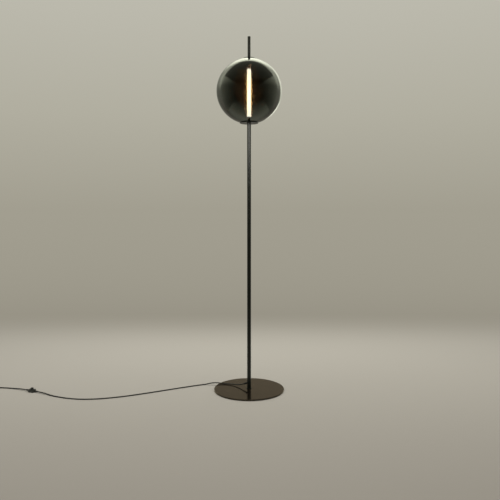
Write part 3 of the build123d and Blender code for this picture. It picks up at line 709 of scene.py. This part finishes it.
# globe
globeValues = {
    "radius": 0.15,
    "wall": 0.003,
    "edge": 0.0014,  # thickness at the rim of each hole
    "bottomHole": 0.036,
    "topHole": 0.02,
    "arcPlaces": 96,
    "columns": 192,
    "ior": 1.5,
    "rough": 0.015,
    "tint": ("#35362d", "#31332a"),
    "tintSize": 110,  # millimetres, as are all its patterns' sizes
    "waveSize": 70,
    "waveDepth": 0.4,
    "waveShare": 0.1,
    "shineTint": (0.95, 1, 0.84, 1),
    "hazeTint": "#bd7846",
    "hazeShare": 0.085,  # share of the inside that the haze specks cover
    "hazeSize": 0.4,
    "hazeRough": 0.33,
}


def smokedGlass(name, values, hazed):
    # blown soda-lime glass, smoked: dark grey-green, mirror-smooth, faintly wavy from blowing;
    # fine warm specks of haze on the inside scatter the bar's light into a glow round it
    material, tree = newMaterial(name)
    place = addNode(tree, "TexCoord").outputs["Object"]
    waveScale, tintScale = 1000 / values["waveSize"], 1000 / values["tintSize"]
    wave = addNode(tree, "TexNoise", {"Vector": place, "Scale": waveScale, "Detail": 1.0})
    bump = addNode(
        tree,
        "Bump",
        {
            "Height": wave.outputs["Fac"],
            "Strength": values["waveShare"],
            "Distance": values["waveDepth"] / 1000,
        },
    )
    tint = addNode(tree, "TexNoise", {"Vector": place, "Scale": tintScale, "Detail": 2.0})
    firstTint, secondTint = (toLinear(shade) for shade in values["tint"])
    color = addNode(
        tree, "Mix", {0: tint.outputs["Fac"], 6: firstTint, 7: secondTint}, data_type="RGBA"
    ).outputs[2]
    roughness = values["rough"]
    if hazed:
        specks = addNode(tree, "TexVoronoi", {"Vector": place, "Scale": 1000 / values["hazeSize"]})
        chance = addNode(tree, "SeparateColor", {"Color": specks.outputs["Color"]}).outputs["Red"]
        speck = addNode(
            tree, "Math", {0: chance, 1: values["hazeShare"]}, operation="LESS_THAN"
        ).outputs[0]
        color = addNode(
            tree, "Mix", {0: speck, 6: color, 7: toLinear(values["hazeTint"])}, data_type="RGBA"
        ).outputs[2]
        roughness = addNode(
            tree,
            "MapRange",
            {"Value": speck, "To Min": values["rough"], "To Max": values["hazeRough"]},
        ).outputs[0]
    shader = addNode(
        tree,
        "BsdfPrincipled",
        {
            "Base Color": color,
            "Roughness": roughness,
            "IOR": values["ior"],
            "Specular Tint": values["shineTint"],
            "Transmission Weight": 1.0,
            "Normal": bump.outputs[0],
        },
    )
    addNode(tree, "OutputMaterial", {"Surface": shader.outputs[0]})
    return material


def globeProfile(values, bottom):
    # outer arc of radius R from the bottom flat to the top flat, and inner arc of R - wall back
    # between the holes; each flat is where the glass is `edge` thick at the hole
    outer, inner = values["radius"], values["radius"] - values["wall"]
    drop = np.sqrt(inner**2 - values["bottomHole"] ** 2) + values["edge"]
    rise = np.sqrt(inner**2 - values["topHole"] ** 2) + values["edge"]
    middle = bottom + drop
    outerTurn = np.linspace(-np.arcsin(drop / outer), np.arcsin(rise / outer), values["arcPlaces"])
    innerTop = np.arccos(values["topHole"] / inner)
    innerBottom = np.arccos(values["bottomHole"] / inner)
    innerTurn = np.linspace(innerTop, -innerBottom, values["arcPlaces"])
    outerArc = np.column_stack([middle + outer * np.sin(outerTurn), outer * np.cos(outerTurn)])
    innerArc = np.column_stack([middle + inner * np.sin(innerTurn), inner * np.cos(innerTurn)])
    topHole = [(middle + rise, values["topHole"])]
    bottomHole = [(bottom, values["bottomHole"])]
    return np.vstack([outerArc, topHole, innerArc, bottomHole])


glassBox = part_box("globe_glass")
profile = globeProfile(globeValues, glassBox[0].z)
rings = turnedPoints((0, 0, 0), (0, 0, 1), profile, globeValues["columns"])
globeMesh = gridMesh("smoked_globe", rings, closed=True)
globe = newPiece(
    "smoked_globe",
    globeMesh,
    [
        smokedGlass("smoked blown glass", globeValues, hazed=False),
        smokedGlass("smoked blown glass, hazed inside", globeValues, hazed=True),
    ],
)
inside = np.zeros((len(profile), globeValues["columns"]), dtype=np.int32)
inside[globeValues["arcPlaces"] + 1 : -1] = 1
globeMesh.polygons.foreach_set("material_index", inside.ravel())
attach(globe, "lamp")
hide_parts("globe_glass")
print("globe blown")

# light bar
barValues = {
    "color": "#f4efe2",
    "rough": 0.3,
    "ior": 1.49,
    "middleGlow": "#ffdcac",
    "endGlow": "#9b98a2",
    "strength": 92.0,
    "fadeShare": 0.9,  # how much of each half the glow takes to rise
}
# extruded opal PMMA round a lit bar: warm white, much brighter in its middle than at both ends
opalAcrylic, tree = newMaterial("opal acrylic tube, lit")
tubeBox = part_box("diffuser_tube")
tubeMiddle, tubeHalf = (tubeBox[0].z + tubeBox[1].z) / 2, (tubeBox[1].z - tubeBox[0].z) / 2
barPlace = addNode(tree, "TexCoord").outputs["Object"]
barHeight = addNode(tree, "SeparateXYZ", {"Vector": barPlace}).outputs["Z"]
offMiddle = addNode(tree, "Math", {0: barHeight, 1: tubeMiddle}, operation="SUBTRACT")
away = addNode(tree, "Math", {0: offMiddle.outputs[0]}, operation="ABSOLUTE")
middleShare = addNode(
    tree,
    "MapRange",
    {
        "Value": away.outputs[0],
        "From Min": tubeHalf * (1 - barValues["fadeShare"]),
        "From Max": tubeHalf,
        "To Min": 1.0,
        "To Max": 0.0,
    },
    interpolation_type="SMOOTHSTEP",
)
barGlow = addNode(
    tree,
    "Mix",
    {
        0: middleShare.outputs[0],
        6: toLinear(barValues["endGlow"]),
        7: toLinear(barValues["middleGlow"]),
    },
    data_type="RGBA",
)
glow = addNode(
    tree,
    "BsdfPrincipled",
    {
        "Base Color": toLinear(barValues["color"]),
        "Roughness": barValues["rough"],
        "IOR": barValues["ior"],
        "Emission Color": barGlow.outputs[2],
        "Emission Strength": barValues["strength"],
    },
)
addNode(tree, "OutputMaterial", {"Surface": glow.outputs[0]})
print("light bar lit")

# other finishes, each with its nodes
felt = makeFinish(
    "pressed wool felt",  # matt and fibrous
    {
        "dark": "#141412",
        "light": "#22211f",
        "toneSize": 6,
        "grainSize": 0.5,
        "grainDepth": 0.3,
        "smooth": 0.9,
        "rough": 1.0,
    },
)
rubber = makeFinish(
    "moulded black rubber",  # dull, with a faint spark-eroded skin
    {
        "dark": "#0f0f0e",
        "light": "#1a1a18",
        "toneSize": 12,
        "grainSize": 0.5,
        "grainDepth": 0.05,
        "smooth": 0.5,
        "rough": 0.66,
    },
)
texturedAbs = makeFinish(
    "spark-eroded black ABS",  # fine even sparkle on a soft sheen
    {
        "dark": "#11110f",
        "light": "#1b1b19",
        "toneSize": 15,
        "grainSize": 0.35,
        "grainDepth": 0.06,
        "smooth": 0.36,
        "rough": 0.5,
    },
)
glossAbs = makeFinish(
    "polished black ABS",  # smooth, with faint brighter patches at random
    {
        "dark": "#151513",
        "light": "#21211e",
        "toneSize": 8,
        "grainSize": 1.2,
        "grainDepth": 0.01,
        "smooth": 0.2,
        "rough": 0.36,
    },
)
zincSteel = makeFinish(
    "zinc-plated steel",  # cool grey, cloudy
    {
        "dark": "#8d9092",
        "light": "#b2b4b4",
        "toneSize": 2.5,
        "grainSize": 0.3,
        "grainDepth": 0.01,
        "smooth": 0.28,
        "rough": 0.42,
        "sockets": {"Metallic": 1.0},
    },
)
nickel = makeFinish(
    "nickel-plated brass pins",  # warm bright metal with fine rubbing along the pin
    {
        "dark": "#b9b2a4",
        "light": "#cfc9bc",
        "toneSize": 3,
        "grainSize": 0.4,
        "grainDepth": 0.01,
        "stretch": (1, 0.08, 1),
        "smooth": 0.14,
        "rough": 0.28,
        "sockets": {"Metallic": 1.0},
    },
)
brass = makeFinish(
    "milled brass",
    {
        "dark": "#b08d45",
        "light": "#caa75c",
        "toneSize": 2,
        "grainSize": 0.3,
        "grainDepth": 0.01,
        "smooth": 0.25,
        "rough": 0.4,
        "sockets": {"Metallic": 1.0},
    },
)
aluminium = makeFinish(
    "extruded aluminium",  # die lines along its length
    {
        "dark": "#9fa1a2",
        "light": "#b9babb",
        "toneSize": 4,
        "grainSize": 0.4,
        "grainDepth": 0.02,
        "stretch": (1, 1, 0.03),
        "smooth": 0.3,
        "rough": 0.45,
        "sockets": {"Metallic": 1.0},
    },
)
whiteMask = makeFinish(
    "white solder mask",
    {
        "dark": "#dcdad2",
        "light": "#e9e7e0",
        "toneSize": 5,
        "grainSize": 0.4,
        "grainDepth": 0.01,
        "smooth": 0.3,
        "rough": 0.42,
    },
)
greenMask = makeFinish(
    "green solder mask",
    {
        "dark": "#0d4a22",
        "light": "#17622f",
        "toneSize": 2,
        "grainSize": 0.4,
        "grainDepth": 0.03,
        "smooth": 0.25,
        "rough": 0.4,
    },
)
epoxy = makeFinish(
    "moulded black epoxy",
    {
        "dark": "#1b1b1c",
        "light": "#262627",
        "toneSize": 4,
        "grainSize": 0.3,
        "grainDepth": 0.02,
        "smooth": 0.5,
        "rough": 0.65,
    },
)
phosphor = makeFinish(
    "yellow phosphor gel",
    {
        "dark": "#d9b647",
        "light": "#ecd071",
        "toneSize": 1,
        "grainSize": 0.2,
        "grainDepth": 0.02,
        "smooth": 0.3,
        "rough": 0.4,
    },
)
wireSleeve = makeFinish(
    "brown PVC wire sleeve",
    {
        "dark": "#4b2a17",
        "light": "#5d3620",
        "toneSize": 6,
        "grainSize": 0.5,
        "grainDepth": 0.02,
        "smooth": 0.35,
        "rough": 0.45,
    },
)

# strain reliefs: moulded rubber, ribbed, each tapering onto the cord
reliefValues = {
    "bore": 2.55,  # millimetres, as are all its lengths
    "ribStart": 1.4,
    "ribPitch": 2.4,
    "ribWidth": 1.5,
    "ribEdge": 0.25,
    "grooveDepth": 0.5,
    "tipEdge": 0.4,
    "columns": 40,
}
route = [Vector(point) for point in cordValues["lampToSwitch"][:2]]
switchMiddle = Vector((-0.987, -0.031, 0.0055))
switchAlong = Vector((-0.9143, 0.4051, 0))
switchHalf = 0.017
# both of the switch's: a flange inside its shell, and a neck through the wall
flange = [(-2.7, 3.8), (-1.5, 3.8), (-1.5, 3.2), (0, 3.2)]
# each shoulder has the root's own (distance, radius), and each taper is (start, root radius, end,
# tip radius)
reliefs = {
    "gland_relief": {
        "stands": "cord_gland",
        "origin": (0, 0, 0.035),
        "heading": route[1] - route[0],
        "shoulder": [(8.34, 4.6)],
        "taper": (9.84, 4.6, 29.84, 3.2),
    },
    "lamp_side_relief": {
        "stands": "switch_boot_lamp_side",
        "origin": switchMiddle - switchHalf * switchAlong,
        "heading": -switchAlong,
        "shoulder": flange,
        "taper": (0, 4.0, 18, 3.0),
    },
    "plug_side_relief": {
        "stands": "switch_boot_plug_side",
        "origin": switchMiddle + switchHalf * switchAlong,
        "heading": switchAlong,
        "shoulder": flange,
        "taper": (0, 4.0, 18, 3.0),
    },
    "plug_relief": {
        "stands": "plug_boot",
        "origin": (-1.266, 0.162, 0.007),
        "heading": (0, -1, 0),
        "shoulder": [],
        "taper": (0, 4.0, 20, 3.0),
    },
}


def newRelief(name, stands, origin, heading, shoulder, taper, values):
    # ribs every pitch on the straight line of the taper; in the grooves between them the radius is
    # the line's less the groove's depth
    start, root, end, tip = taper
    firstRib, lastRib = start + values["ribStart"], end - values["tipEdge"] - values["ribPitch"]
    ribs = np.arange(firstRib, lastRib, values["ribPitch"])
    edge, width, depth = values["ribEdge"], values["ribWidth"], values["grooveDepth"]
    places = (ribs[:, None] + np.array([0, edge, width - edge, width])).ravel()
    cuts = np.tile([depth, 0, 0, depth], len(ribs))
    places = np.concatenate([[start], places[1:], [end - values["tipEdge"], end]])
    cuts = np.concatenate([[0], cuts[1:], [0, values["tipEdge"]]])
    radii = np.interp(places, [start, end], [root, tip]) - cuts
    low = shoulder[0][0] if shoulder else start
    loop = [(low, values["bore"]), *shoulder, *zip(places, radii), (end, values["bore"])]
    rings = turnedPoints(origin, heading, np.array(loop) / 1000, values["columns"])
    relief = newPiece(name, gridMesh(name, rings, closed=True), [rubber])
    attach(relief, "lamp")
    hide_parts(stands)


for name, relief in reliefs.items():
    newRelief(name, **relief, values=reliefValues)
print("strain reliefs turned")

# each listed CAD node gets the finish of its part, shown or not
rodPieces = ["lower_rod", "upper_rod", "rod_tip", "diffuser_bottom_cap", "diffuser_top_cap"]
nodeFinishes = [
    (felt, ["base_pad"]),
    (bronzeLacquer, ["base_plate"]),
    (zincSteel, ["base_bolt", "pole_foot_insert", "threaded_nipple", "top_cap_grub_screws"]),
    (zincSteel, ["switch_screws", "switch_spring"]),
    (satinLacquer, ["pole_foot_ring", "pole_tube", "pole_top_hub"]),
    (satinLacquer, ["globe_carrier", "globe_top_cap", *rodPieces]),
    (rubber, ["bottom_gasket", "top_gasket", "coil_tie"]),
    (opalAcrylic, ["diffuser_tube"]),
    (aluminium, ["light_bar"]),
    (whiteMask, ["led_strip_front", "led_strip_back", "led_strip_left", "led_strip_right"]),
    (phosphor, ["led_chips"]),
    (greenMask, ["driver_board"]),
    (epoxy, ["driver_components", "switch_module"]),
    (wireSleeve, ["mains_cores", "light_cores", "switch_cores"]),
    (brass, ["switch_terminals"]),
    (texturedAbs, ["switch_lower_shell", "switch_upper_shell", "plug_body"]),
    (glossAbs, ["switch_button"]),
    (nickel, ["plug_pins"]),
    (cordPvc, ["cord_lamp_to_switch", "cord_switch_to_coil", "cord_coil", "cord_coil_to_plug"]),
]
for material, names in nodeFinishes:
    for name in names:
        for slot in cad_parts[name].material_slots:
            slot.material = material
print("finishes applied")
